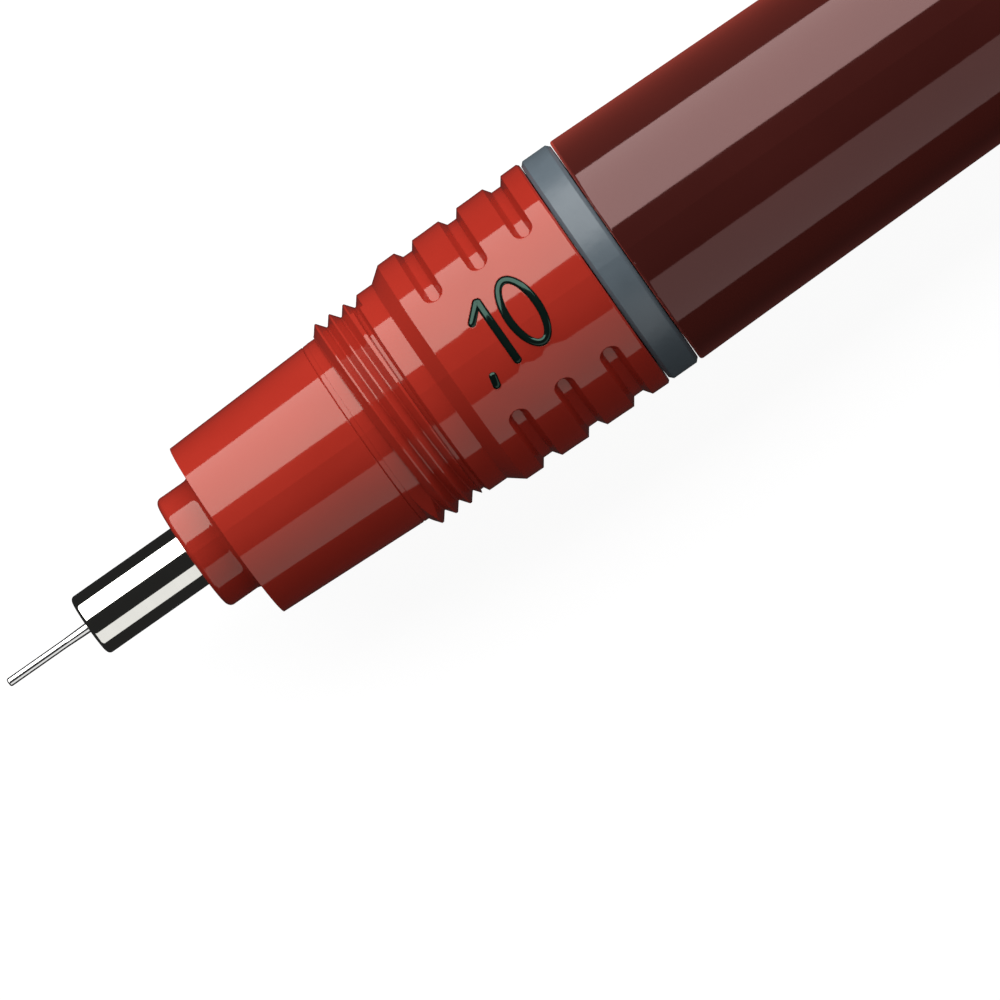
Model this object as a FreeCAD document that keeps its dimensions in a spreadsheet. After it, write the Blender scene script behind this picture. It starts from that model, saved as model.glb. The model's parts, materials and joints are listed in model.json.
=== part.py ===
# Technical pen with a capillary cartridge, its screw cap pushed on to the tail.
#
# Frame: the pen's axis is X, the end of the writing tube is the origin, the tail points to +X and
# the line-width numerals face +Z. Millimetres.
#
# SIZES are the driving dimensions and fill the sheet "Sizes". PLACES are the positions along X
# and the radii that follow from them.

import FreeCAD, Part
import math
import os
import re
import Sketcher

SIZES = {
    # Stepped steel writing tube
    "tube_radius": 0.21,
    "tube_rear_radius": 0.25,
    "tube_bore_radius": 0.10,
    "tube_slim_length": 3.1,
    "tube_step_length": 1.4,
    "tube_reach": 4.5,
    "tube_seat_length": 5.0,
    # Steel ferrule that holds the tube
    "ferrule_radius": 1.55,
    "ferrule_round": 0.22,
    "ferrule_reach": 5.7,
    "ferrule_seat_length": 3.0,
    "ferrule_seat_step": 0.25,
    "ferrule_flange_height": 0.55,
    "ferrule_flange_length": 0.8,
    "ferrule_well_radius": 0.8,
    # Nose: a collar, then a slightly tapered cone
    "collar_wall": 1.39,
    "collar_round": 0.3,
    "collar_length": 1.95,
    "collar_fillet": 0.4,
    "cone_taper": 0.31,
    "cone_step": 0.11,
    "cone_length": 7.81,
    "nose_joint_setback": 0.26,
    "nose_joint_bevel": 0.04,
    "nose_spigot_wall": 0.5,
    "nose_spigot_length": 1.3,
    "grip_wall": 0.64,
    # Weight chamber, with the cleaning wire and its drop weight
    "chamber_bore_radius": 1.3,
    "chamber_bore_length": 10.0,
    "chamber_wall": 0.9,
    "chamber_flange_length": 2.0,
    "chamber_rear_flange_at": 12.0,
    "chamber_length": 17.0,
    "feed_radius": 1.9,
    "feed_bore_radius": 0.8,
    "feed_length": 5.0,
    "feed_chamfer": 0.3,
    "weight_clearance": 0.08,
    "weight_length": 6.0,
    "weight_front_gap": 0.45,
    "weight_channel_width": 0.5,
    "weight_channel_depth": 0.3,
    "wire_radius": 0.05,
    "wire_setback": 0.15,
    "wire_grip_length": 1.5,
    "safety_plug_length": 2.0,
    "safety_plug_bore_radius": 0.6,
    # Cap thread on the grip section, right-hand
    "cap_thread_radius": 5.35,
    "cap_thread_pitch": 0.776,
    "cap_thread_depth": 0.41,
    "cap_thread_root_flat": 0.06,
    "cap_thread_crest": 0.076,
    "cap_thread_lead": 0.33,
    "cap_thread_length": 2.99,
    "cap_thread_start": 0.158,
    "cap_thread_start_turn": 1.12,
    "cap_thread_run_out": 0.18,
    "cap_thread_relief_depth": 0.25,
    "cap_thread_relief_front": 0.06,
    "cap_thread_relief_length": 0.16,
    "cap_thread_relief_rear": 0.15,
    "land_height": 0.01,
    "land_length": 0.97,
    # Grip
    "shoulder_height": 0.55,
    "shoulder_length": 0.71,
    "grip_flare": 0.13,
    "grip_length": 7.85,
    "grip_edge": 0.1,
    "groove_first": 1.42,
    "groove_pitch": 2.475,
    "groove_width": 1.02,
    "groove_floor_width": 0.48,
    "groove_depth": 0.376,
    "groove_free_angle": 61.0,
    "groove_overrun": 0.3,
    # Line-width numerals, a black second moulding let into the grip; X from the grip's front edge
    "numeral_stroke": 0.37,
    "numeral_inlay": 0.15,
    "numeral_proud": 0.07,
    "point_x": 1.51,
    "point_y": -1.41,
    "point_height": 0.80,
    "point_lean": 13.0,
    "stem_x": 2.88,
    "stem_y": 0.335,
    "stem_height": 3.49,
    "flag_x": 2.475,
    "flag_y": 1.595,
    "flag_height": 1.30,
    "flag_lean": 46.0,
    "zero_x": 4.32,
    "zero_y": 0.415,
    "zero_half_width": 0.93,
    "zero_half_height": 1.81,
    # Colour ring between the grip and the barrel
    "ring_gap": 0.05,
    "ring_step": 0.04,
    "ring_length": 1.61,
    "ring_bevel": 0.18,
    "ring_clearance": 0.06,
    "ring_seat_height": 0.25,
    # Barrel, and its thread on the grip section, right-hand
    "barrel_thread_pitch": 1.0,
    "barrel_thread_depth": 0.36,
    "barrel_thread_wall": 0.54,
    "barrel_thread_root_flat": 0.14,
    "barrel_thread_crest": 0.20,
    "barrel_thread_entry": 0.24,
    "barrel_thread_clearance": 0.08,
    "barrel_thread_relief": 0.8,
    "barrel_thread_length": 5.2,
    "barrel_edge": 0.13,
    "barrel_mouth_depth": 0.6,
    "barrel_length": 68.8,
    "tail_step": 0.15,
    "tail_clearance": 0.06,
    "tail_wall": 0.75,
    "tail_length": 10.3,
    "tail_bore_step": 0.3,
    "tail_bore_lead": 3.0,
    "end_plug_head_length": 1.0,
    "end_plug_round": 0.6,
    "end_plug_spigot_length": 5.0,
    "end_plug_wall": 0.9,
    "vent_radius": 0.5,
    # Ink cartridge
    "cartridge_gap": 0.5,
    "neck_clearance": 0.1,
    "neck_wall": 0.6,
    "cartridge_clearance": 0.3,
    "cartridge_wall": 0.6,
    "cartridge_tail_room": 8.3,
    "mouth_seal_length": 1.6,
    "spiral_length": 12.0,
    "spiral_pitch": 1.5,
    "spiral_channel_width": 0.7,
    "spiral_channel_depth": 0.8,
    "spiral_bore_radius": 0.7,
    "cartridge_plug_head": 1.2,
    "cartridge_plug_length": 3.5,
    "cartridge_plug_wall": 0.8,
    # Screw cap
    "cap_gap": 0.5,
    "cap_wall": 0.55,
    "cap_taper": 0.3,
    "cap_edge": 0.2,
    "cap_stop_gap": 0.3,
    "cap_mouth_depth": 1.1,
    "cap_mouth_clearance": 0.09,
    "cap_nut_lead": 0.33,
    "cap_thread_clearance": 0.07,
    "cap_thread_zone": 3.3,
    "cap_relief_length": 0.8,
    "cap_relief_depth": 0.06,
    "cap_bore_step": 0.05,
    "cap_seal_length": 1.4,
    "cap_seal_clearance": 0.08,
    "cap_seal_lip": 0.35,
    "cap_cup_clearance": 0.16,
    "cap_cup_step": 0.01,
    "cap_cup_tip_room": 1.6,
    "cap_cup_end_wall": 1.4,
    "cap_rear_length": 9.8,
    "cap_rear_wall": 1.3,
    "crown_spigot_length": 7.0,
    "crown_spigot_wall": 1.0,
    "crown_setback": 0.2,
    "crown_length": 3.2,
    "crown_round": 1.2,
    "crown_disc_radius": 2.7,
    "crown_disc_depth": 0.5,
    # Pocket clip, stamped from spring strip
    "clip_thickness": 0.7,
    "clip_width": 3.2,
    "clip_rise": 2.4,
    "clip_corner": 0.6,
    "clip_foot_at": 6.0,
    "clip_foot_length": 2.6,
    "clip_foot_thickness": 0.84,
    "clip_toe_length": 1.6,
    "clip_toe_rise": 0.9,
    "clip_foot_clearance": 0.1,
    "clip_hinge_gap": 0.03,
    "clip_taper": 0.45,
    # How far a channel's section is carried past its mouth
    "cut_overrun": 0.01,
}

GROOVES_PER_SIDE = 3
WEIGHT_CHANNELS = 3

PLACES = {
    # Point section, front to rear
    "ferrule_front": "tube_reach",
    "tube_end": "ferrule_front + tube_seat_length",
    "tube_wall": "tube_radius - tube_bore_radius",
    "collar_front": "ferrule_front + ferrule_reach",
    "flange_front": "collar_front + ferrule_seat_length",
    "ferrule_end": "flange_front + ferrule_flange_length",
    "flange_radius": "ferrule_radius + ferrule_flange_height",
    "ferrule_seat_radius": "ferrule_radius - ferrule_seat_step",
    "collar_radius": "ferrule_radius + collar_wall",
    "cone_front": "collar_front + collar_length",
    "cone_rear": "cone_front + cone_length",
    "cone_rear_radius": "cap_thread_root_radius - cone_step",
    "cone_front_radius": "cone_rear_radius - cone_taper",
    "nose_joint": "cone_rear - nose_joint_setback",
    "nose_joint_radius": "cone_rear_radius - cone_taper * nose_joint_setback / cone_length",
    "nose_spigot_end": "nose_joint + nose_spigot_length",
    "nose_spigot_radius": "cap_thread_root_radius - grip_wall",
    "core_radius": "nose_spigot_radius - nose_spigot_wall",
    # Weight chamber
    "chamber_radius": "chamber_bore_radius + chamber_wall",
    "chamber_bore_end": "ferrule_end + chamber_bore_length",
    "plug_seat_end": "chamber_bore_end + safety_plug_length",
    "rear_flange_front": "ferrule_end + chamber_rear_flange_at",
    "rear_flange_end": "rear_flange_front + chamber_flange_length",
    "chamber_end": "ferrule_end + chamber_length",
    "feed_end": "chamber_end + feed_length",
    "weight_radius": "chamber_bore_radius - weight_clearance",
    "weight_front": "ferrule_end + weight_front_gap",
    "weight_end": "weight_front + weight_length",
    "wire_end": "weight_front + wire_grip_length",
    # Threads and grip
    "cap_thread_mouth": "cap_thread_pitch - cap_thread_crest",
    "cap_thread_root_radius": "cap_thread_radius - cap_thread_depth",
    "cap_thread_first": "cone_rear - cap_thread_start",
    "land_radius": "cap_thread_radius + land_height",
    "land_front": "cone_rear + cap_thread_length",
    "land_rear": "land_front + land_length",
    "relief_rear": "land_front - cap_thread_relief_rear",
    "relief_front": "relief_rear - cap_thread_relief_length",
    "relief_radius": "cap_thread_radius - cap_thread_relief_depth",
    "grip_front": "land_rear + shoulder_length",
    "grip_rear": "grip_front + grip_length",
    "grip_front_radius": "land_radius + shoulder_height",
    "grip_rear_radius": "grip_front_radius + grip_flare",
    "groove_slope": "(groove_width - groove_floor_width) / 2 / groove_depth",
    "barrel_thread_mouth": "barrel_thread_pitch - barrel_thread_crest",
    "barrel_thread_root_radius": "core_radius + barrel_thread_wall",
    "barrel_thread_radius": "barrel_thread_root_radius + barrel_thread_depth",
    "barrel_thread_first": "barrel_front + barrel_thread_entry",
    "barrel_thread_front": "barrel_front + barrel_thread_relief",
    "barrel_thread_rear": "barrel_thread_front + barrel_thread_length",
    # Ring and barrel
    "ring_front": "grip_rear + ring_gap",
    "ring_rear": "ring_front + ring_length",
    "ring_radius": "grip_rear_radius - ring_step",
    "ring_seat_radius": "barrel_thread_radius + ring_seat_height",
    "barrel_front": "ring_rear + ring_gap",
    "barrel_nut_radius": "barrel_thread_root_radius + barrel_thread_clearance",
    "barrel_nut_root_radius": "barrel_thread_radius + barrel_thread_clearance",
    "barrel_mouth_radius": "barrel_nut_root_radius + barrel_thread_clearance",
    "barrel_nut_rear": "barrel_thread_rear + barrel_thread_relief",
    "barrel_relief_end": "barrel_nut_rear + barrel_thread_relief",
    "barrel_rear_radius": "tail_radius + tail_step",
    "tail_front": "barrel_front + barrel_length",
    "tail_end": "tail_front + tail_length",
    "tail_radius": "cap_nut_radius - tail_clearance",
    "tail_bore_radius": "tail_radius - tail_wall",
    "barrel_bore_radius": "tail_bore_radius + tail_bore_step",
    "pen_end": "tail_end + end_plug_head_length",
    # Cartridge
    "neck_radius": "core_radius - neck_clearance",
    "neck_bore_radius": "neck_radius - neck_wall",
    "cartridge_radius": "barrel_bore_radius - cartridge_clearance",
    "cartridge_bore_radius": "cartridge_radius - cartridge_wall",
    "cartridge_front": "chamber_end + cartridge_gap",
    "cartridge_shoulder": "barrel_thread_rear + 2 * cartridge_gap",
    "cartridge_end": "tail_front - cartridge_tail_room",
    "spiral_front": "feed_end + cartridge_gap",
    "spiral_root_radius": "neck_bore_radius - spiral_channel_depth",
    # Cap
    "cap_mouth": "tail_front + cap_gap",
    "cap_front_radius": "cap_mouth_radius + cap_wall",
    "cap_rear_radius": "cap_front_radius - cap_taper",
    "cap_mouth_radius": "land_radius + cap_mouth_clearance",
    "cap_nut_front": "cap_mouth + cap_mouth_depth",
    "cap_nut_rear": "cap_nut_front + cap_thread_zone",
    "cap_nut_radius": "cap_thread_root_radius + cap_thread_clearance",
    "cap_nut_root_radius": "cap_thread_radius + cap_thread_clearance",
    "cap_relief_radius": "cap_nut_root_radius + cap_relief_depth",
    "cap_relief_end": "cap_nut_rear + cap_relief_length",
    "cap_bore_radius": "cap_nut_radius + cap_bore_step",
    "cap_seal_front": "cap_mouth + land_rear + cap_stop_gap - cone_front",
    "cap_cup_front": "cap_seal_front + cap_seal_length",
    "cap_cup_end": "cap_cup_front + cone_front + cap_cup_tip_room + cap_cup_end_wall",
    "cap_cup_outer_radius": "cap_nut_radius - cap_cup_step",
    "cap_cup_radius": "collar_radius + cap_cup_clearance",
    "cap_seal_radius": "collar_radius + cap_seal_clearance",
    "cap_end": "cap_cup_end + cap_rear_length",
    "cap_rear_bore_radius": "cap_rear_radius - cap_rear_wall",
    "clip_ring_end": "cap_end + clip_thickness",
    "crown_radius": "cap_rear_radius - crown_setback",
    "crown_end": "clip_ring_end + crown_length",
    # Pocket clip, in the plane through its middle
    "clip_height": "cap_rear_radius + clip_rise",
    "clip_under": "clip_height - clip_thickness",
    "clip_root": "cap_end - clip_hinge_gap",
    "clip_foot": "cap_mouth + clip_foot_at",
    "clip_toe": "clip_foot - clip_toe_length",
    "clip_foot_height": "cap_front_radius - cap_taper * clip_foot_at / (cap_end - cap_mouth)"
                        " + clip_foot_clearance",
    "clip_roll": "90 deg + asin(grip_rear_radius / sqrt(clip_height ^ 2 + (clip_width / 2) ^ 2))"
                 " - atan(clip_width / 2 / clip_height)",
}

CUTS = (
    "PartDesign::Groove",
    "PartDesign::Pocket",
    "PartDesign::SubtractiveBox",
    "PartDesign::SubtractiveCone",
    "PartDesign::SubtractiveHelix",
)

doc = FreeCAD.newDocument("TechnicalPen")
sheet = doc.addObject("Spreadsheet::Sheet", "Sizes")
nodes = []


def fill_sheet():
    for row, (alias, size) in enumerate(SIZES.items(), start=1):
        sheet.set("A%d" % row, alias.replace("_", " "))
        sheet.set("B%d" % row, str(size))
        sheet.setAlias("B%d" % row, alias)
    doc.recompute()


def formula(text):
    """Spell out a formula over SIZES and PLACES as a FreeCAD expression."""
    def spell(match):
        word = match.group(0)
        if word in PLACES:
            return "(" + formula(PLACES[word]) + ")"
        if word in SIZES:
            return "Sizes." + word
        return word
    return re.sub(r"[A-Za-z_]\w*", spell, text)


def value(text):
    """The number that a formula gives now."""
    result = sheet.evalExpression(formula(text))
    return float(getattr(result, "Value", result))


def bind(thing, formulas):
    """Bind properties of a document object to formulas."""
    for path, text in formulas.items():
        thing.setExpression(path, formula(text))


def node(thing, name):
    """Name a finished object as one of the pen's pieces."""
    thing.Label = name
    nodes.append(thing)
    return thing


def arc_centre(start, end, radius, turns_left):
    """Centre of the short arc from start to end that curves to the left or to the right."""
    chord = end - start
    rise = math.sqrt(max(radius ** 2 - chord.Length ** 2 / 4, 0))
    side = FreeCAD.Vector(-chord.y, chord.x, 0).normalize()
    if not turns_left:
        side = -side
    return (start + end) / 2 + side * rise


def hold(sketch, constraint, name, text):
    """Add a dimension to a sketch and bind it to a formula."""
    sketch.renameConstraint(sketch.addConstraint(constraint), name)
    sketch.setExpression("Constraints." + name, formula(text))


def closed_sketch(name, corners, body=None, plane="XZ_Plane"):
    """Closed sketch whose corners are held by bound dimensions.

    A corner is (x, y), or (x, y, radius, "left" or "right") where an arc leads to it.
    """
    if body is None:
        sketch = doc.addObject("Sketcher::SketchObject", name)
    else:
        sketch = body.newObject("Sketcher::SketchObject", name)
        support = next(part for part in body.Origin.OriginFeatures if part.Role == plane)
        sketch.AttachmentSupport = [(support, "")]
        sketch.MapMode = "FlatFace"
    points = [FreeCAD.Vector(value(corner[0]), value(corner[1]), 0) for corner in corners]
    edges = []
    ends = []
    for index, start in enumerate(points):
        follower = (index + 1) % len(points)
        end = points[follower]
        target = corners[follower]
        if len(target) == 2:
            edges.append(Part.LineSegment(start, end))
            ends.append((1, 2))
            continue
        turns_left = target[3] == "left"
        radius = value(target[2])
        centre = arc_centre(start, end, radius, turns_left)
        circle = Part.Circle(centre, FreeCAD.Vector(0, 0, 1), radius)
        first, last = (start, end) if turns_left else (end, start)
        edges.append(Part.ArcOfCircle(circle, circle.parameter(first), circle.parameter(last)))
        ends.append((1, 2) if turns_left else (2, 1))
    sketch.addGeometry(edges, False)
    for index, corner in enumerate(corners):
        before = index - 1 if index else len(corners) - 1
        start = ends[index][0]
        sketch.addConstraint(Sketcher.Constraint("Coincident", before, ends[before][1], index, start))
        for kind, letter, text, zero_line in (
            ("DistanceX", "x", corner[0], -2),
            ("DistanceY", "y", corner[1], -1),
        ):
            if text == "0":
                sketch.addConstraint(Sketcher.Constraint("PointOnObject", index, start, zero_line))
                continue
            dimension = Sketcher.Constraint(kind, index, start, value(text))
            hold(sketch, dimension, "%s%d" % (letter, index), text)
        if len(corner) == 4:
            dimension = Sketcher.Constraint("Radius", before, value(corner[2]))
            hold(sketch, dimension, "radius%d" % index, corner[2])
    sketch.Visibility = False
    return sketch


def turn(body, name, corners, kind="PartDesign::Revolution"):
    """Turn a profile in the XZ plane about the pen's axis, to add material or to cut it."""
    feature = body.newObject(kind, name)
    feature.Profile = closed_sketch(name + "_profile", corners, body)
    feature.ReferenceAxis = (feature.Profile[0], ["H_Axis"])
    feature.Angle = 360
    return feature


def turned_body(name, corners):
    body = doc.addObject("PartDesign::Body", name + "_body")
    turn(body, name + "_turning", corners)
    return body


def helical_cut(body, name, section, pitch, length):
    """Cut a right-hand helical channel that runs towards +X."""
    feature = body.newObject("PartDesign::SubtractiveHelix", name)
    feature.Profile = closed_sketch(name + "_section", section, body)
    feature.ReferenceAxis = (feature.Profile[0], ["H_Axis"])
    feature.Mode = "pitch-height-angle"
    feature.LeftHanded = False
    bind(feature, {"Pitch": pitch, "Height": length})
    return feature


def channel_section(centre, mouth_radius, floor_radius, mouth, floor, overrun="cut_overrun"):
    """Corners of a symmetric channel section, carried past its mouth by the overrun."""
    slope = "((%s) - (%s)) / 2 / abs((%s) - (%s))" % (mouth, floor, mouth_radius, floor_radius)
    half = "((%s) / 2 + (%s) * (%s))" % (mouth, overrun, slope)
    sign = "+" if value(mouth_radius) > value(floor_radius) else "-"
    open_radius = "(%s) %s (%s)" % (mouth_radius, sign, overrun)
    return [
        ("(%s) - %s" % (centre, half), open_radius),
        ("(%s) - (%s) / 2" % (centre, floor), floor_radius),
        ("(%s) + (%s) / 2" % (centre, floor), floor_radius),
        ("(%s) + %s" % (centre, half), open_radius),
    ]


# ---- Point section ----

def make_writing_tube():
    node(turned_body("writing_tube", [
        ("0", "tube_bore_radius", "tube_wall", "left"),
        ("tube_end", "tube_bore_radius"),
        ("tube_end", "tube_rear_radius"),
        ("tube_slim_length + tube_step_length", "tube_rear_radius"),
        ("tube_slim_length", "tube_radius"),
        ("tube_wall", "tube_radius"),
    ]), "writing_tube")


def make_tip_ferrule():
    node(turned_body("tip_ferrule", [
        ("ferrule_front", "tube_rear_radius"),
        ("tube_end", "tube_rear_radius"),
        ("tube_end", "ferrule_well_radius"),
        ("ferrule_end", "ferrule_well_radius"),
        ("ferrule_end", "flange_radius"),
        ("flange_front", "flange_radius"),
        ("flange_front", "ferrule_seat_radius"),
        ("collar_front", "ferrule_seat_radius"),
        ("collar_front", "ferrule_radius"),
        ("ferrule_front + ferrule_round", "ferrule_radius"),
        ("ferrule_front", "ferrule_radius - ferrule_round", "ferrule_round", "left"),
    ]), "tip_ferrule")


def make_nose_cone():
    """Collar and cone in one moulding, with a spigot that seats in the grip section."""
    node(turned_body("nose_cone", [
        ("collar_front", "ferrule_seat_radius"),
        ("flange_front", "ferrule_seat_radius"),
        ("flange_front", "flange_radius"),
        ("ferrule_end", "flange_radius"),
        ("ferrule_end", "core_radius"),
        ("nose_spigot_end", "core_radius"),
        ("nose_spigot_end", "nose_spigot_radius"),
        ("nose_joint", "nose_spigot_radius"),
        ("nose_joint", "nose_joint_radius - nose_joint_bevel"),
        ("nose_joint - nose_joint_bevel", "nose_joint_radius"),
        ("cone_front", "cone_front_radius"),
        ("cone_front", "collar_radius + collar_fillet"),
        ("cone_front - collar_fillet", "collar_radius", "collar_fillet", "right"),
        ("collar_front + collar_round", "collar_radius"),
        ("collar_front", "collar_radius - collar_round", "collar_round", "left"),
    ]), "nose_cone")


def make_weight_chamber():
    """Inner tube that guides the drop weight and feeds ink from the cartridge."""
    node(turned_body("weight_chamber", [
        ("ferrule_end", "chamber_bore_radius"),
        ("plug_seat_end", "chamber_bore_radius"),
        ("plug_seat_end", "feed_bore_radius"),
        ("feed_end", "feed_bore_radius"),
        ("feed_end", "feed_radius - feed_chamfer"),
        ("feed_end - feed_chamfer", "feed_radius"),
        ("chamber_end", "feed_radius"),
        ("chamber_end", "chamber_radius"),
        ("rear_flange_end", "chamber_radius"),
        ("rear_flange_end", "core_radius"),
        ("rear_flange_front", "core_radius"),
        ("rear_flange_front", "chamber_radius"),
        ("ferrule_end + chamber_flange_length", "chamber_radius"),
        ("ferrule_end + chamber_flange_length", "core_radius"),
        ("ferrule_end", "core_radius"),
    ]), "weight_chamber")


def make_safety_plug():
    node(turned_body("safety_plug", [
        ("chamber_bore_end", "safety_plug_bore_radius"),
        ("plug_seat_end", "safety_plug_bore_radius"),
        ("plug_seat_end", "chamber_bore_radius"),
        ("chamber_bore_end", "chamber_bore_radius"),
    ]), "safety_plug")


def make_drop_weight():
    """Steel weight on the wire, with three channels along it that let the ink past."""
    body = turned_body("drop_weight", [
        ("weight_front", "wire_radius"),
        ("wire_end", "wire_radius"),
        ("wire_end", "0"),
        ("weight_end", "0"),
        ("weight_end", "weight_radius"),
        ("weight_front", "weight_radius"),
    ])
    channel = body.newObject("PartDesign::Pocket", "drop_weight_channel")
    half_width = "weight_channel_width / 2"
    channel.Profile = closed_sketch("drop_weight_channel_section", [
        ("-" + half_width, "weight_radius - weight_channel_depth"),
        (half_width, "weight_radius - weight_channel_depth"),
        (half_width, "weight_radius + weight_channel_depth"),
        ("-" + half_width, "weight_radius + weight_channel_depth"),
    ], body, "YZ_Plane")
    channel.Type = "ThroughAll"
    channel.SideType = "Symmetric"
    axis = next(part for part in body.Origin.OriginFeatures if part.Role == "X_Axis")
    channels = body.newObject("PartDesign::PolarPattern", "drop_weight_channels")
    channels.Originals = [channel]
    channels.Axis = (axis, [""])
    channels.Angle = 360
    channels.Occurrences = WEIGHT_CHANNELS
    body.Tip = channels
    node(body, "drop_weight")


def make_cleaning_wire():
    node(turned_body("cleaning_wire", [
        ("wire_setback", "0"),
        ("wire_end", "0"),
        ("wire_end", "wire_radius"),
        ("wire_setback", "wire_radius"),
    ]), "cleaning_wire")


# ---- Grip section and its numerals ----

def cut_grip_grooves(body):
    """Two groups of three round-ended grooves, each group round one side of the grip."""
    for number in range(GROOVES_PER_SIDE):
        offset = "(groove_first + %d * groove_pitch)" % number
        place = "(grip_front + %s)" % offset
        surface = "(grip_front_radius + grip_flare * %s / grip_length)" % offset
        floor = "(%s - groove_depth)" % surface
        end_turn = "(groove_free_angle / 2 * 1 deg + asin(groove_width / 2 / %s))" % surface
        section = channel_section(
            place, surface, floor, "groove_width", "groove_floor_width", "groove_overrun"
        )
        for side, sign in (("left", ""), ("right", "-")):
            name = "grip_groove_%s%d" % (side, number + 1)
            corners = [(x, "%s(%s)" % (sign, radius)) for x, radius in section]
            groove = body.newObject("PartDesign::Groove", name)
            groove.Profile = closed_sketch(name + "_section", corners, body, "XY_Plane")
            groove.ReferenceAxis = (groove.Profile[0], ["H_Axis"])
            groove.Midplane = True
            bind(groove, {"Angle": "180 deg - 2 * %s" % end_turn})
        for corner, turn_text in enumerate((
            end_turn, "-%s" % end_turn, "180 deg - %s" % end_turn, "180 deg + %s" % end_turn
        )):
            end = body.newObject(
                "PartDesign::SubtractiveCone", "grip_groove_end%d_%d" % (number + 1, corner + 1)
            )
            end.Placement.Rotation = FreeCAD.Rotation(FreeCAD.Vector(1, 0, 0), value(turn_text))
            bind(end, {
                "Radius1": "groove_floor_width / 2",
                "Radius2": "groove_width / 2 + groove_overrun * groove_slope",
                "Height": "groove_depth + groove_overrun",
                "Placement.Base.x": place,
                "Placement.Base.y": "-%s * sin(%s)" % (floor, turn_text),
                "Placement.Base.z": "%s * cos(%s)" % (floor, turn_text),
                "Placement.Rotation.Angle": turn_text,
            })


def clear_thread_start(body):
    """Cut back to the cone ahead of the first ridge, which rises on a ramp below the numerals."""
    front = "cap_thread_first - cap_thread_mouth"
    inside = "(cone_rear_radius + cut_overrun)"
    outside = "cap_thread_radius + cut_overrun"
    foot = "((cap_thread_start_turn - 1) * 360 deg)"
    reach = "cap_thread_radius"
    helical_cut(body, "cap_thread_clearing", [
        (front, inside),
        ("cap_thread_first", inside),
        ("cap_thread_first", outside),
        (front, outside),
    ], "cap_thread_pitch", "cap_thread_start_turn * cap_thread_pitch")
    ramp = body.newObject("PartDesign::SubtractiveBox", "cap_thread_ramp")
    ramp.Placement.Rotation = FreeCAD.Rotation(FreeCAD.Vector(1, 0, 0), value(foot))
    bind(ramp, {
        "Length": "cap_thread_start_turn * cap_thread_pitch",
        "Width": reach,
        "Height": reach,
        "Placement.Base.x": "cap_thread_first",
        "Placement.Base.y": "-%s * cos(%s) - %s * sin(%s)" % (reach, foot, inside, foot),
        "Placement.Base.z": "%s * cos(%s) - %s * sin(%s)" % (inside, foot, reach, foot),
        "Placement.Rotation.Angle": foot,
    })


def make_grip_body():
    body = turned_body("grip_section", [
        ("nose_joint", "nose_spigot_radius"),
        ("nose_spigot_end", "nose_spigot_radius"),
        ("nose_spigot_end", "core_radius"),
        ("barrel_thread_rear", "core_radius"),
        ("barrel_thread_rear", "barrel_thread_root_radius"),
        ("barrel_thread_rear - barrel_thread_depth", "barrel_thread_radius"),
        ("barrel_thread_front + barrel_thread_depth", "barrel_thread_radius"),
        ("barrel_thread_front", "barrel_thread_root_radius"),
        ("ring_rear", "barrel_thread_root_radius"),
        ("ring_rear", "ring_seat_radius"),
        ("grip_rear", "ring_seat_radius"),
        ("grip_rear", "grip_rear_radius - grip_edge"),
        ("grip_rear - grip_edge", "grip_rear_radius"),
        ("grip_front", "grip_front_radius"),
        ("land_rear", "land_radius"),
        ("land_front", "land_radius"),
        ("relief_rear", "relief_radius"),
        ("relief_front", "relief_radius"),
        ("relief_front - cap_thread_relief_front", "cap_thread_radius"),
        ("cone_rear + cap_thread_lead", "cap_thread_radius"),
        ("cone_rear", "cone_rear_radius"),
        ("nose_joint + nose_joint_bevel", "nose_joint_radius"),
        ("nose_joint", "nose_joint_radius - nose_joint_bevel"),
    ])
    cut_grip_grooves(body)
    clear_thread_start(body)
    helical_cut(body, "cap_thread", channel_section(
        "cap_thread_first", "cap_thread_radius", "cap_thread_root_radius",
        "cap_thread_mouth", "cap_thread_root_flat"
    ), "cap_thread_pitch", "cap_thread_start + cap_thread_length - cap_thread_run_out")
    helical_cut(body, "barrel_thread", channel_section(
        "barrel_thread_first", "barrel_thread_radius", "barrel_thread_root_radius",
        "barrel_thread_mouth", "barrel_thread_root_flat"
    ), "barrel_thread_pitch", "barrel_thread_rear - barrel_front + barrel_thread_pitch / 2")
    return body


def make_stroke(name):
    """A straight round-ended stroke, standing right through the grip's upper side."""
    radius = "numeral_stroke / 2"
    half = "(%s_height - numeral_stroke) / 2" % name
    sketch = closed_sketch(name + "_outline", [
        ("-" + radius, "-" + half),
        ("0", "-%s_height / 2" % name, radius, "left"),
        (radius, "-" + half, radius, "left"),
        (radius, half),
        ("0", "%s_height / 2" % name, radius, "left"),
        ("-" + radius, half, radius, "left"),
    ])
    bind(sketch, {
        "Placement.Base.x": "grip_front + %s_x" % name,
        "Placement.Base.y": name + "_y",
    })
    if name + "_lean" in SIZES:
        sketch.Placement.Rotation = FreeCAD.Rotation(FreeCAD.Vector(0, 0, 1), -value(name + "_lean"))
        bind(sketch, {"Placement.Rotation.Angle": "-%s_lean * 1 deg" % name})
    return raised(sketch, name)


def make_zero_side(name, inset):
    """Elliptical outline of the nought, moved inwards by the inset."""
    outline = doc.addObject("Part::Ellipse", name + "_outline")
    outline.Placement.Rotation = FreeCAD.Rotation(FreeCAD.Vector(0, 0, 1), 90)
    bind(outline, {
        "MajorRadius": "zero_half_height - (%s)" % inset,
        "MinorRadius": "zero_half_width - (%s)" % inset,
        "Placement.Base.x": "grip_front + zero_x",
        "Placement.Base.y": "zero_y",
    })
    return raised(outline, name)


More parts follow.
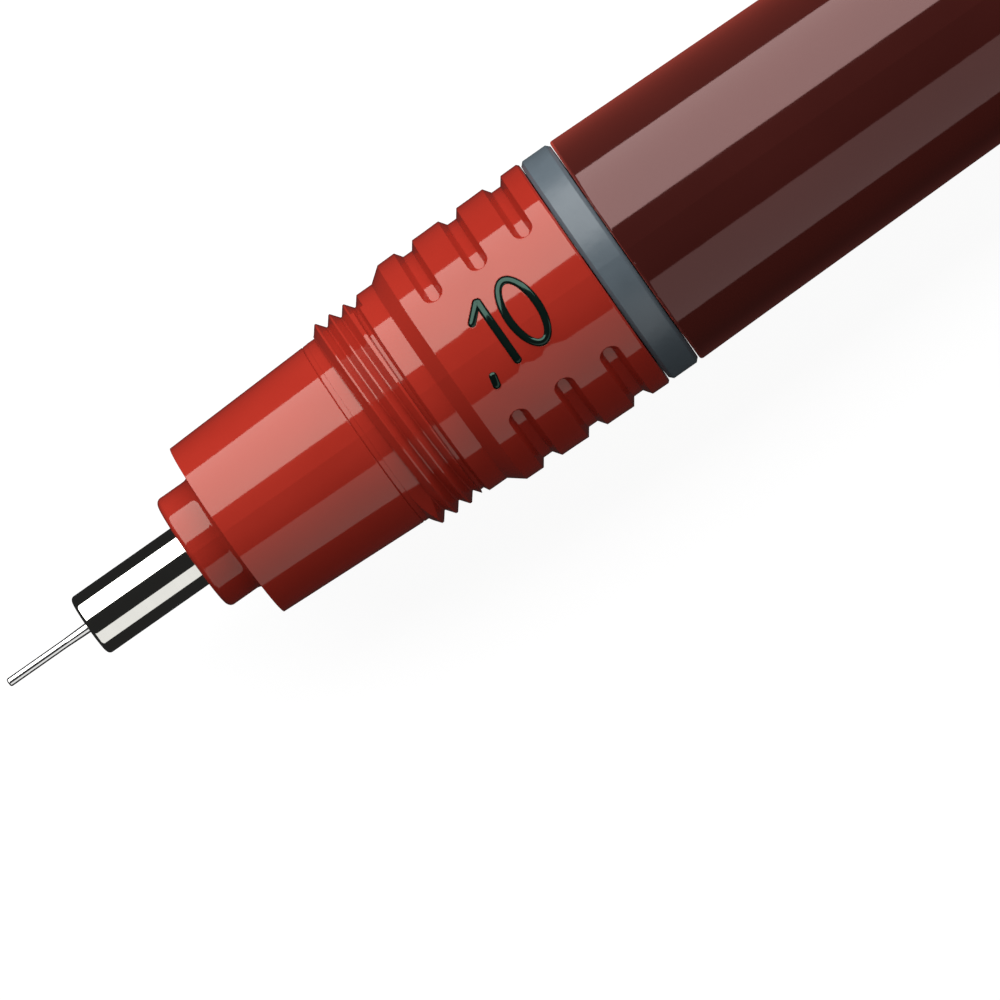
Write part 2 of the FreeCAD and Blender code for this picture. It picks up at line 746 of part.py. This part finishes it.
def raised(outline, name):
    """Extrude an outline in the XY plane up past the grip's top line."""
    prism = doc.addObject("Part::Extrusion", name)
    prism.Base = outline
    prism.DirMode = "Custom"
    prism.Dir = FreeCAD.Vector(0, 0, 1)
    prism.Solid = True
    bind(prism, {"LengthFwd": "grip_rear_radius + numeral_stroke"})
    return prism


def make_grip_section():
    body = make_grip_body()
    zero = doc.addObject("Part::Cut", "zero")
    zero.Base = make_zero_side("zero_outside", "0")
    zero.Tool = make_zero_side("zero_inside", "numeral_stroke")
    strokes = doc.addObject("Part::MultiFuse", "strokes")
    strokes.Shapes = [make_stroke("point"), make_stroke("stem"), make_stroke("flag"), zero]
    skin = turned_body("numeral_skin", [
        ("grip_front", "grip_front_radius - numeral_inlay"),
        ("grip_rear", "grip_rear_radius - numeral_inlay"),
        ("grip_rear", "grip_rear_radius + numeral_proud"),
        ("grip_front", "grip_front_radius + numeral_proud"),
    ])
    numerals = doc.addObject("Part::MultiCommon", "numerals")
    numerals.Shapes = [strokes, skin]
    grip = doc.addObject("Part::Cut", "grip")
    grip.Base = body
    grip.Tool = numerals
    node(grip, "grip_section")
    node(numerals, "line_width_numerals")


# ---- Ring and barrel ----

def make_colour_ring():
    bore = "ring_seat_radius + ring_clearance"
    node(turned_body("colour_ring", [
        ("ring_front", bore),
        ("ring_rear", bore),
        ("ring_rear", "ring_radius - ring_bevel"),
        ("ring_rear - ring_bevel", "ring_radius"),
        ("ring_front + ring_bevel", "ring_radius"),
        ("ring_front", "ring_radius - ring_bevel"),
    ]), "colour_ring")


def make_barrel():
    body = turned_body("barrel", [
        ("barrel_front", "barrel_mouth_radius"),
        ("barrel_front + barrel_mouth_depth", "barrel_mouth_radius"),
        ("barrel_front + barrel_mouth_depth", "barrel_nut_radius"),
        ("barrel_nut_rear", "barrel_nut_radius"),
        ("barrel_nut_rear", "barrel_mouth_radius"),
        ("barrel_relief_end", "barrel_mouth_radius"),
        ("barrel_relief_end", "barrel_bore_radius"),
        ("tail_front - tail_bore_lead", "barrel_bore_radius"),
        ("tail_front - tail_bore_lead + tail_bore_step", "tail_bore_radius"),
        ("tail_end", "tail_bore_radius"),
        ("tail_end", "tail_radius"),
        ("tail_front", "tail_radius"),
        ("tail_front", "barrel_rear_radius - tail_step / 2"),
        ("tail_front - tail_step / 2", "barrel_rear_radius"),
        ("barrel_front + barrel_edge", "ring_radius"),
        ("barrel_front", "ring_radius - barrel_edge", "barrel_edge", "left"),
    ])
    helical_cut(body, "barrel_nut", channel_section(
        "barrel_thread_first - barrel_thread_pitch / 2", "barrel_nut_radius", "barrel_nut_root_radius",
        "barrel_thread_pitch - barrel_thread_root_flat", "barrel_thread_crest"
    ), "barrel_thread_pitch", "barrel_nut_rear - barrel_front"
                              " + (barrel_thread_relief + barrel_thread_pitch) / 2")
    node(body, "barrel")


def make_barrel_end_plug():
    """Hollow plug that closes the tail, with a vent that lets air follow the ink."""
    node(turned_body("barrel_end_plug", [
        ("tail_end - end_plug_spigot_length", "tail_bore_radius - end_plug_wall"),
        ("tail_end - end_plug_wall", "tail_bore_radius - end_plug_wall"),
        ("tail_end - end_plug_wall", "vent_radius"),
        ("pen_end", "vent_radius"),
        ("pen_end", "tail_radius - end_plug_round"),
        ("pen_end - end_plug_round", "tail_radius", "end_plug_round", "left"),
        ("tail_end", "tail_radius"),
        ("tail_end", "tail_bore_radius"),
        ("tail_end - end_plug_spigot_length", "tail_bore_radius"),
    ]), "barrel_end_plug")


# ---- Ink cartridge ----

def make_cartridge_shell():
    flare = "cartridge_radius - neck_radius"
    node(turned_body("cartridge_shell", [
        ("cartridge_front", "neck_bore_radius"),
        ("cartridge_shoulder + cartridge_wall", "neck_bore_radius"),
        ("cartridge_shoulder + cartridge_wall + %s" % flare, "cartridge_bore_radius"),
        ("cartridge_end", "cartridge_bore_radius"),
        ("cartridge_end", "cartridge_radius"),
        ("cartridge_shoulder + %s" % flare, "cartridge_radius"),
        ("cartridge_shoulder", "neck_radius"),
        ("cartridge_front", "neck_radius"),
    ]), "cartridge_shell")


def make_cartridge_seal():
    node(turned_body("cartridge_seal", [
        ("cartridge_front", "feed_radius"),
        ("cartridge_front + mouth_seal_length", "feed_radius"),
        ("cartridge_front + mouth_seal_length", "neck_bore_radius"),
        ("cartridge_front", "neck_bore_radius"),
    ]), "cartridge_seal")


def make_capillary_spiral():
    """Core with a helical channel that evens out the pressure over the ink."""
    body = turned_body("capillary_spiral", [
        ("spiral_front", "spiral_bore_radius"),
        ("spiral_front + spiral_length", "spiral_bore_radius"),
        ("spiral_front + spiral_length", "neck_bore_radius"),
        ("spiral_front", "neck_bore_radius"),
    ])
    helical_cut(body, "spiral_channel", channel_section(
        "spiral_front + spiral_pitch / 2", "neck_bore_radius", "spiral_root_radius",
        "spiral_channel_width", "spiral_channel_width"
    ), "spiral_pitch", "spiral_length - spiral_pitch")
    node(body, "capillary_spiral")


def make_cartridge_plug():
    node(turned_body("cartridge_plug", [
        ("cartridge_end - cartridge_plug_length", "cartridge_bore_radius - cartridge_plug_wall"),
        ("cartridge_end", "cartridge_bore_radius - cartridge_plug_wall"),
        ("cartridge_end", "0"),
        ("cartridge_end + cartridge_plug_head", "0"),
        ("cartridge_end + cartridge_plug_head", "cartridge_radius"),
        ("cartridge_end", "cartridge_radius"),
        ("cartridge_end", "cartridge_bore_radius"),
        ("cartridge_end - cartridge_plug_length", "cartridge_bore_radius"),
    ]), "cartridge_plug")


# ---- Cap ----

def make_cap_shell():
    body = turned_body("cap_shell", [
        ("cap_mouth", "cap_mouth_radius"),
        ("cap_nut_front", "cap_mouth_radius"),
        ("cap_nut_front", "cap_nut_radius"),
        ("cap_nut_rear", "cap_nut_radius"),
        ("cap_nut_rear", "cap_relief_radius"),
        ("cap_relief_end", "cap_relief_radius"),
        ("cap_relief_end", "cap_bore_radius"),
        ("cap_seal_front", "cap_bore_radius"),
        ("cap_seal_front", "cap_cup_outer_radius"),
        ("cap_cup_end", "cap_cup_outer_radius"),
        ("cap_cup_end", "cap_rear_bore_radius"),
        ("cap_end", "cap_rear_bore_radius"),
        ("cap_end", "cap_rear_radius"),
        ("cap_mouth + cap_edge", "cap_front_radius"),
        ("cap_mouth", "cap_front_radius - cap_edge", "cap_edge", "left"),
    ])
    helical_cut(body, "cap_nut", channel_section(
        "cap_mouth + cap_nut_lead", "cap_nut_radius", "cap_nut_root_radius",
        "cap_thread_pitch - cap_thread_root_flat", "cap_thread_crest"
    ), "cap_thread_pitch", "(cap_nut_rear + cap_relief_end) / 2 - cap_mouth - cap_nut_lead")
    node(body, "cap_shell")


def make_cap_seal():
    """Soft ring, with a lip, that closes on the front of the nose cone."""
    node(turned_body("cap_seal", [
        ("cap_seal_front", "cap_cup_outer_radius - cap_seal_lip"),
        ("cap_seal_front + cap_seal_lip", "cap_cup_outer_radius"),
        ("cap_cup_front", "cap_cup_outer_radius"),
        ("cap_cup_front", "cap_seal_radius"),
        ("cap_seal_front + cap_seal_lip", "cap_seal_radius"),
        ("cap_seal_front", "cap_seal_radius + cap_seal_lip"),
    ]), "cap_seal")


def make_cap_inner_cup():
    node(turned_body("cap_inner_cup", [
        ("cap_cup_front", "cap_cup_radius"),
        ("cap_cup_end - cap_cup_end_wall", "cap_cup_radius"),
        ("cap_cup_end - cap_cup_end_wall", "0"),
        ("cap_cup_end", "0"),
        ("cap_cup_end", "cap_cup_outer_radius"),
        ("cap_cup_front", "cap_cup_outer_radius"),
    ]), "cap_inner_cup")


def make_cap_crown():
    """End button, whose hollow spigot passes through the clip's ring into the cap."""
    spigot_front = "cap_end - crown_spigot_length"
    disc_front = "crown_end - crown_disc_depth"
    node(turned_body("cap_crown", [
        (spigot_front, "cap_rear_bore_radius - crown_spigot_wall"),
        ("clip_ring_end", "cap_rear_bore_radius - crown_spigot_wall"),
        ("clip_ring_end", "0"),
        (disc_front, "0"),
        (disc_front, "crown_disc_radius"),
        ("crown_end", "crown_disc_radius"),
        ("crown_end", "crown_radius - crown_round"),
        ("crown_end - crown_round", "crown_radius", "crown_round", "left"),
        ("clip_ring_end", "crown_radius"),
        ("clip_ring_end", "cap_rear_bore_radius"),
        (spigot_front, "cap_rear_bore_radius"),
    ]), "cap_crown")
    node(turned_body("crown_disc", [
        (disc_front, "0"),
        ("crown_end", "0"),
        ("crown_end", "crown_disc_radius"),
        (disc_front, "crown_disc_radius"),
    ]), "crown_disc")


# ---- Pocket clip ----

def pad_across(body, name, corners, width):
    """Pad a profile in the XZ plane to both sides of it."""
    feature = body.newObject("PartDesign::Pad", name)
    feature.Profile = closed_sketch(name + "_profile", corners, body)
    feature.SideType = "Symmetric"
    bind(feature, {"Length": width})
    return feature


def roll_clip(body):
    """Turn a clip piece about the pen's axis until the clip rests level with the grip."""
    body.Placement.Rotation = FreeCAD.Rotation(FreeCAD.Vector(1, 0, 0), value("clip_roll"))
    bind(body, {"Placement.Rotation.Angle": "clip_roll"})


def make_clip_ring():
    """The clip's ring between cap and crown, with the tab that carries its arm."""
    body = turned_body("clip_ring", [
        ("cap_end", "cap_rear_bore_radius"),
        ("clip_ring_end", "cap_rear_bore_radius"),
        ("clip_ring_end", "cap_rear_radius"),
        ("cap_end", "cap_rear_radius"),
    ])
    pad_across(body, "clip_tab", [
        ("cap_end", "(cap_rear_bore_radius + cap_rear_radius) / 2"),
        ("clip_ring_end", "(cap_rear_bore_radius + cap_rear_radius) / 2"),
        ("clip_ring_end", "clip_height - clip_corner"),
        ("clip_ring_end - clip_corner", "clip_height", "clip_corner", "left"),
        ("cap_end", "clip_height"),
    ], "clip_width")
    roll_clip(body)
    node(body, "clip_ring")


def make_pocket_clip():
    """Spring arm that runs forward from the tab, touches down at its foot and turns up."""
    body = doc.addObject("PartDesign::Body", "pocket_clip_body")
    bend = "(clip_foot + clip_foot_length)"
    pad_across(body, "clip_arm", [
        ("clip_root", "clip_under"),
        ("clip_root", "clip_height"),
        (bend, "clip_height"),
        ("clip_foot", "clip_foot_height + clip_foot_thickness"),
        ("clip_toe", "clip_foot_height + clip_toe_rise + clip_thickness"),
        ("clip_toe", "clip_foot_height + clip_toe_rise"),
        ("clip_foot", "clip_foot_height"),
        ("%s + clip_thickness / 2" % bend, "clip_under"),
    ], "clip_width")
    for side, sign in (("left", ""), ("right", "-")):
        taper = body.newObject("PartDesign::Pocket", "clip_taper_" + side)
        taper.Profile = closed_sketch("clip_taper_%s_outline" % side, [
            ("clip_toe - clip_thickness", "%s(clip_width / 2 - clip_taper)" % sign),
            ("clip_root - clip_thickness", "%sclip_width / 2" % sign),
            ("clip_root - clip_thickness", "%sclip_width" % sign),
            ("clip_toe - clip_thickness", "%sclip_width" % sign),
        ], body, "XY_Plane")
        taper.Type = "ThroughAll"
        taper.SideType = "Symmetric"
    roll_clip(body)
    node(body, "pocket_clip")


def check_document():
    """Stop if a feature failed, a cut removed nothing or a piece isn't a valid solid."""
    for thing in doc.Objects:
        faults = [state for state in thing.State if state in ("Invalid", "Error")]
        if faults:
            raise RuntimeError("%s: %s" % (thing.Name, faults))
        if thing.TypeId in CUTS and thing.Shape.Volume > thing.BaseFeature.Shape.Volume - 1e-6:
            raise RuntimeError(thing.Name + " cuts nothing")
    for piece in nodes:
        if piece.Shape.isNull() or not piece.Shape.isValid() or not piece.Shape.Solids:
            raise RuntimeError(piece.Label + " isn't a valid solid")


fill_sheet()
make_writing_tube()
make_tip_ferrule()
make_nose_cone()
make_weight_chamber()
make_safety_plug()
make_drop_weight()
make_cleaning_wire()
make_grip_section()
make_colour_ring()
make_barrel()
make_barrel_end_plug()
make_cartridge_shell()
make_cartridge_seal()
make_capillary_spiral()
make_cartridge_plug()
make_cap_shell()
make_cap_seal()
make_cap_inner_cup()
make_cap_crown()
make_clip_ring()
make_pocket_clip()
doc.recompute()
check_document()

os.makedirs("parts", exist_ok=True)
for piece in nodes:
    piece.Shape.exportStep("parts/%s.step" % piece.Label)
    print("%-22s %8.2f mm3" % (piece.Label, piece.Shape.Volume))
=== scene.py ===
import json
import math

import bmesh
import bpy
from mathutils import Matrix, Vector


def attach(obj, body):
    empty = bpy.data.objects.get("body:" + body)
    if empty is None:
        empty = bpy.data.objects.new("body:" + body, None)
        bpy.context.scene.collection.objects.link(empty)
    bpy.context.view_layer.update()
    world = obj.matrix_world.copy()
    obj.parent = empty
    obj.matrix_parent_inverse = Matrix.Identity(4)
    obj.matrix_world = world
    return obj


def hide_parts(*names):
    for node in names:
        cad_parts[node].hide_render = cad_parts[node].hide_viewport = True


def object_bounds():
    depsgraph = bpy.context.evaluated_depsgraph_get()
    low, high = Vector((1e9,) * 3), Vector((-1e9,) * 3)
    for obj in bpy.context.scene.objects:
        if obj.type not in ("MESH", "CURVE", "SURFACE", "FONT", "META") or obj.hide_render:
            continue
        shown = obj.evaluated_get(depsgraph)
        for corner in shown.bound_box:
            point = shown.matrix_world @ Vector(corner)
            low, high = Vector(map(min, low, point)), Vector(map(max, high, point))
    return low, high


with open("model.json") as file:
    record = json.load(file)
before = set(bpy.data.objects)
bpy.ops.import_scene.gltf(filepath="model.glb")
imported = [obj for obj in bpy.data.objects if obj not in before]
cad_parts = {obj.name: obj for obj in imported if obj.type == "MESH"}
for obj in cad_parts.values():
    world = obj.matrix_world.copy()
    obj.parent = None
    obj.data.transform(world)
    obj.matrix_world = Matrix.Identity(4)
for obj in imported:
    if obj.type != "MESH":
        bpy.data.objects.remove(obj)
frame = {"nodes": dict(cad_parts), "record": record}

REST_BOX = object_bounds()
MM = 0.001

# The picture's centre on the pen's axis plane, its width there, the lean of the pen in it,
# and the camera's place above the barrel.
VIEW_CENTRE = Vector((23.07, -5.99, 0)) * MM
VIEW_WIDTH = 45.35 * MM
VIEW_LEAN = math.radians(35.04)
CAMERA_PLACE = Vector((37, 0, 420)) * MM
SENSOR = 36.0

# Two long softboxes beside the pen: the angles from overhead at which each starts and ends,
# their ends along the pen and how bright their faces are, where white is 1.
KEY_SPAN = (math.radians(22.5), math.radians(85))
FILL_SPAN = (math.radians(34), math.radians(82))
BOX_DISTANCE = 0.30
BOX_ENDS = (-0.22, 0.50)
KEY_RADIANCE = 4.4
FILL_RADIANCE = 0.95
AMBIENT = 0.02
FLOOR_GLOW = 0.93
FLOOR_SIZE = 6
FLOOR_MIDDLE_X = 0.07

# Noise stretches for steel: marks along the pen, and marks round it.
ALONG_MARKS = (0.05, 1, 1)
ROUND_MARKS = (1, 0.05, 0.05)
PLASTIC_BUMP = 0.1 * MM
STEEL_BUMP = 0.02 * MM


# ---- Materials ----

def new_material(name):
    material = bpy.data.materials.new(name)
    material.use_nodes = True
    nodes = material.node_tree.nodes
    return material, nodes, material.node_tree.links, nodes["Principled BSDF"]


def add_noise(nodes, links, scale, detail=3.0, stretch=(1, 1, 1)):
    """Noise in the frame's own coordinates, with about `scale` features to the metre."""
    place = nodes.new("ShaderNodeTexCoord")
    mapping = nodes.new("ShaderNodeMapping")
    mapping.inputs["Scale"].default_value = stretch
    noise = nodes.new("ShaderNodeTexNoise")
    noise.inputs["Scale"].default_value = scale
    noise.inputs["Detail"].default_value = detail
    links.new(place.outputs["Object"], mapping.inputs["Vector"])
    links.new(mapping.outputs["Vector"], noise.inputs["Vector"])
    return noise


def add_range(nodes, links, source, low, high):
    """Map a 0 to 1 value to a range."""
    spread = nodes.new("ShaderNodeMapRange")
    spread.inputs["To Min"].default_value = low
    spread.inputs["To Max"].default_value = high
    links.new(source, spread.inputs["Value"])
    return spread.outputs["Result"]


def add_bump(nodes, links, height, strength, distance, shader):
    bump = nodes.new("ShaderNodeBump")
    bump.inputs["Strength"].default_value = strength
    bump.inputs["Distance"].default_value = distance
    links.new(height, bump.inputs["Height"])
    links.new(bump.outputs["Normal"], shader.inputs["Normal"])
    return bump


def moulded(name, dark, light, roughness, bump=0.02, grain=900, edge=0.0,
            sheen=0.0, gloss=0.5, tint=(1, 1, 1)):
    """Moulded plastic: slow colour drift, faint polish marks, slight waviness and soft edges."""
    material, nodes, links, shader = new_material(name)
    drift = add_noise(nodes, links, grain / 6)
    ramp = nodes.new("ShaderNodeValToRGB")
    ramp.color_ramp.elements[0].position = 0.35
    ramp.color_ramp.elements[0].color = (*dark, 1)
    ramp.color_ramp.elements[1].position = 0.65
    ramp.color_ramp.elements[1].color = (*light, 1)
    links.new(drift.outputs["Fac"], ramp.inputs["Fac"])
    links.new(ramp.outputs["Color"], shader.inputs["Base Color"])
    polish = add_noise(nodes, links, grain * 2, 4.0, (0.15, 1, 1))
    rough = add_range(nodes, links, polish.outputs["Fac"], roughness[0], roughness[1])
    links.new(rough, shader.inputs["Roughness"])
    waviness = add_noise(nodes, links, grain)
    surface = add_bump(nodes, links, waviness.outputs["Fac"], bump, PLASTIC_BUMP, shader)
    if edge:
        rounding = nodes.new("ShaderNodeBevel")
        rounding.samples = 6
        rounding.inputs["Radius"].default_value = edge
        links.new(rounding.outputs["Normal"], surface.inputs["Normal"])
    shader.inputs["Specular IOR Level"].default_value = gloss
    shader.inputs["Specular Tint"].default_value = (*tint, 1)
    shader.inputs["Sheen Weight"].default_value = sheen
    shader.inputs["Sheen Tint"].default_value = (0.9, 0.12, 0.08, 1)
    shader.inputs["Sheen Roughness"].default_value = 0.5
    return material


def steel(name, colour, roughness, stretch, bump=0.05, grain=2500):
    """Turned or drawn steel: fine marks along the given direction."""
    material, nodes, links, shader = new_material(name)
    marks = add_noise(nodes, links, grain, 5.0, stretch)
    ramp = nodes.new("ShaderNodeValToRGB")
    ramp.color_ramp.elements[0].color = (*[c * 0.9 for c in colour], 1)
    ramp.color_ramp.elements[1].color = (*colour, 1)
    links.new(marks.outputs["Fac"], ramp.inputs["Fac"])
    links.new(ramp.outputs["Color"], shader.inputs["Base Color"])
    shader.inputs["Metallic"].default_value = 1.0
    rough = add_range(nodes, links, marks.outputs["Fac"], roughness[0], roughness[1])
    links.new(rough, shader.inputs["Roughness"])
    add_bump(nodes, links, marks.outputs["Fac"], bump, STEEL_BUMP, shader)
    return material


PLASTICS = {
    "red_plastic": {
        "dark": (0.255, 0.0170, 0.0100), "light": (0.280, 0.0200, 0.0120),
        "roughness": (0.04, 0.08), "edge": 0.06 * MM, "tint": (1, 0.92, 0.80),
    },
    "oxblood_plastic": {
        "dark": (0.023, 0.0048, 0.0042), "light": (0.027, 0.0055, 0.0048),
        "roughness": (0.04, 0.08), "edge": 0.04 * MM,
        "sheen": 0.6, "gloss": 0.62, "tint": (1, 0.64, 0.62),
    },
    "grey_plastic": {
        "dark": (0.066, 0.084, 0.098), "light": (0.074, 0.093, 0.108),
        "roughness": (0.30, 0.40), "bump": 0.10, "grain": 3000, "edge": 0.06 * MM, "gloss": 0.42,
    },
    "black_plastic": {
        "dark": (0.002, 0.0045, 0.0038), "light": (0.003, 0.0075, 0.006),
        "roughness": (0.06, 0.12), "tint": (0.45, 0.85, 0.68),
    },
    "natural_plastic": {
        "dark": (0.66, 0.64, 0.58), "light": (0.72, 0.70, 0.65),
        "roughness": (0.30, 0.42), "bump": 0.05,
    },
    "white_plastic": {
        "dark": (0.72, 0.72, 0.69), "light": (0.78, 0.78, 0.76),
        "roughness": (0.25, 0.35), "bump": 0.05,
    },
    "clear_plastic": {
        "dark": (0.70, 0.73, 0.72), "light": (0.76, 0.78, 0.77),
        "roughness": (0.15, 0.25), "bump": 0.03,
    },
    "seal_rubber": {
        "dark": (0.016, 0.016, 0.018), "light": (0.024, 0.024, 0.026),
        "roughness": (0.55, 0.75), "bump": 0.2, "grain": 4000,
    },
}
STEELS = {
    "tube_steel": ((0.80, 0.80, 0.79), (0.10, 0.18), ALONG_MARKS),
    "ferrule_steel": ((0.84, 0.83, 0.78), (0.03, 0.06), ROUND_MARKS),
    "weight_steel": ((0.66, 0.66, 0.66), (0.22, 0.34), ROUND_MARKS),
    "clip_steel": ((0.72, 0.73, 0.74), (0.18, 0.30), ALONG_MARKS),
}


def make_materials():
    """One material for each slot of the record."""
    materials = {slot: moulded(slot, **look) for slot, look in PLASTICS.items()}
    for slot, look in STEELS.items():
        materials[slot] = steel(slot, *look)
    return materials


def dress_nodes(materials):
    """Give every CAD node the material of its slot."""
    slots = {part["node"]: part["material_slot"] for part in frame["record"]["subparts"]}
    for name, node in frame["nodes"].items():
        node.data.materials.clear()
        node.data.materials.append(materials[slots[name]])


# ---- Numerals ----

# In mm and degrees: the grip's front edge, length and end radii; each stroke's middle (X from
# that edge, Y), length and lean; the nought's middle and half sizes. Each ring is a distance
# from a stroke's middle line and a height over the grip.
GRIP_FRONT = 24.63
GRIP_LENGTH = 7.85
GRIP_RADII = (5.91, 6.04)
STROKE_WIDTH = 0.37
STROKES = ((1.51, -1.41, 0.80, 13), (2.88, 0.335, 3.49, 0), (2.475, 1.595, 1.30, 46))
ZERO = (4.32, 0.415, 0.93, 1.81)
STROKE_RINGS = ((0, 0.070), (0.078, 0.070), (0.103, 0.060), (0.190, -0.030))
STROKE_STEPS = 24
WELD_REACH = MM / 1000


def on_grip(x, y, height):
    """Place over the grip, seen straight down, in metres."""
    radius = GRIP_RADII[0] + (GRIP_RADII[1] - GRIP_RADII[0]) * x / GRIP_LENGTH
    turn = math.asin(y / radius)
    out = radius + height
    return Vector((GRIP_FRONT + x, out * math.sin(turn), out * math.cos(turn))) * MM


def stroke_loop(x, y, length, lean, distance, height):
    """Points round a straight stroke at a distance from its middle line."""
    lean = math.radians(lean)
    along = Vector((math.sin(lean), math.cos(lean)))
    across = Vector((along.y, -along.x))
    reach = (length - STROKE_WIDTH) / 2
    flat = []
    for side in (1, -1):
        for step in range(STROKE_STEPS):
            share = 2 * step / STROKE_STEPS - 1
            flat.append(across * distance * side + along * reach * side * share)
        for step in range(STROKE_STEPS):
            turn = math.pi * step / STROKE_STEPS
            rim = across * math.cos(turn) + along * math.sin(turn)
            flat.append((rim * distance + along * reach) * side)
    return [on_grip(x + spot.x, y + spot.y, height) for spot in flat]


def zero_loop(offset, height):
    """Points round the nought at a distance outside its middle line."""
    x, y, half_width, half_height = ZERO
    count = 4 * STROKE_STEPS
    inset = offset - STROKE_WIDTH / 2
    loop = []
    for step in range(count):
        turn = 2 * math.pi * step / count
        across = (half_width + inset) * math.cos(turn)
        up = (half_height + inset) * math.sin(turn)
        loop.append(on_grip(x + across, y + up, height))
    return loop


def make_numerals(material):
    """Numerals with sloped sides, in place of the plain ones."""
    sets = [[stroke_loop(*stroke, *ring) for ring in STROKE_RINGS] for stroke in STROKES]
    sets.append([zero_loop(-distance, height) for distance, height in reversed(STROKE_RINGS[1:])]
                + [zero_loop(distance, height) for distance, height in STROKE_RINGS])
    points = []
    faces = []
    for loops in sets:
        count = len(loops[0])
        for inner in range(len(loops) - 1):
            start = len(points) + inner * count
            for step in range(count):
                after = (step + 1) % count
                outer = start + count
                faces.append((start + step, outer + step, outer + after, start + after))
        points += [point for loop in loops for point in loop]
    mesh = bpy.data.meshes.new("raised_numerals")
    mesh.from_pydata(points, [], faces)
    shape = bmesh.new()
    shape.from_mesh(mesh)
    bmesh.ops.remove_doubles(shape, verts=shape.verts, dist=WELD_REACH)
    for face in shape.faces:
        face.smooth = True
        if face.normal.z < 0:
            face.normal_flip()
    shape.to_mesh(mesh)
    shape.free()
    mesh.materials.append(material)
    numerals = bpy.data.objects.new("raised_numerals", mesh)
    bpy.context.scene.collection.objects.link(numerals)
    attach(numerals, "point_section")
    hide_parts("line_width_numerals")


# ---- Studio ----

def make_floor():
    """Back-lit white table top, so that the pen throws hardly any shadow."""
    low, _ = REST_BOX
    material, nodes, links, shader = new_material("floor_paper")
    grain = add_noise(nodes, links, 400)
    tone = add_range(nodes, links, grain.outputs["Fac"], 0.10, 0.11)
    links.new(tone, shader.inputs["Base Color"])
    shader.inputs["Roughness"].default_value = 0.9
    shader.inputs["Specular IOR Level"].default_value = 0.0
    shader.inputs["Emission Color"].default_value = (1, 1, 1, 1)
    shader.inputs["Emission Strength"].default_value = FLOOR_GLOW
    bpy.ops.mesh.primitive_plane_add(size=FLOOR_SIZE, location=(FLOOR_MIDDLE_X, 0, low[2]))
    floor = bpy.context.object
    floor.name = "floor"
    floor.data.materials.append(material)
    floor.visible_glossy = False
    floor.visible_diffuse = False


def add_softbox(name, span, side, radiance):
    """Long light whose edges stand at the two angles from overhead, on the side of +Y or -Y."""
    edges = [
        Vector((0, side * math.sin(angle), math.cos(angle))) * BOX_DISTANCE for angle in span
    ]
    middle = (edges[0] + edges[1]) / 2
    middle.x = (BOX_ENDS[0] + BOX_ENDS[1]) / 2
    length = BOX_ENDS[1] - BOX_ENDS[0]
    width = (edges[1] - edges[0]).length
    light = bpy.data.lights.new(name, "AREA")
    light.shape = "RECTANGLE"
    light.size = length
    light.size_y = width
    light.energy = radiance * math.pi * length * width
    along = Vector((1, 0, 0))
    across = (edges[1] - edges[0]).normalized()
    away = along.cross(across)
    if away.dot(edges[0]) < 0:
        across = -across
        away = -away
    lamp = bpy.data.objects.new(name, light)
    turn = Matrix((along, across, away)).transposed().to_4x4()
    lamp.matrix_world = Matrix.Translation(middle) @ turn
    bpy.context.scene.collection.objects.link(lamp)


def make_world():
    world = bpy.data.worlds.new("studio")
    bpy.context.scene.world = world
    world.use_nodes = True
    background = world.node_tree.nodes["Background"]
    background.inputs["Color"].default_value = (1, 1, 1, 1)
    background.inputs["Strength"].default_value = AMBIENT


def make_camera():
    """Camera over the pen, turned so that the pen leans up to the right in the picture."""
    forward = (VIEW_CENTRE - CAMERA_PLACE).normalized()
    up_hint = Vector((math.sin(VIEW_LEAN), math.cos(VIEW_LEAN), 0))
    right = forward.cross(up_hint).normalized()
    up = right.cross(forward)
    camera = bpy.data.cameras.new("camera")
    camera.sensor_width = SENSOR
    camera.lens = SENSOR * (VIEW_CENTRE - CAMERA_PLACE).length / VIEW_WIDTH
    camera.clip_start = 0.01
    holder = bpy.data.objects.new("camera", camera)
    turn = Matrix((right, up, -forward)).transposed().to_4x4()
    holder.matrix_world = Matrix.Translation(CAMERA_PLACE) @ turn
    bpy.context.scene.collection.objects.link(holder)
    bpy.context.scene.camera = holder


materials = make_materials()
dress_nodes(materials)
make_numerals(materials["black_plastic"])
make_floor()
add_softbox("key_softbox", KEY_SPAN, 1, KEY_RADIANCE)
add_softbox("fill_softbox", FILL_SPAN, -1, FILL_RADIANCE)
make_world()
make_camera()
bpy.context.scene.view_settings.view_transform = "Standard"
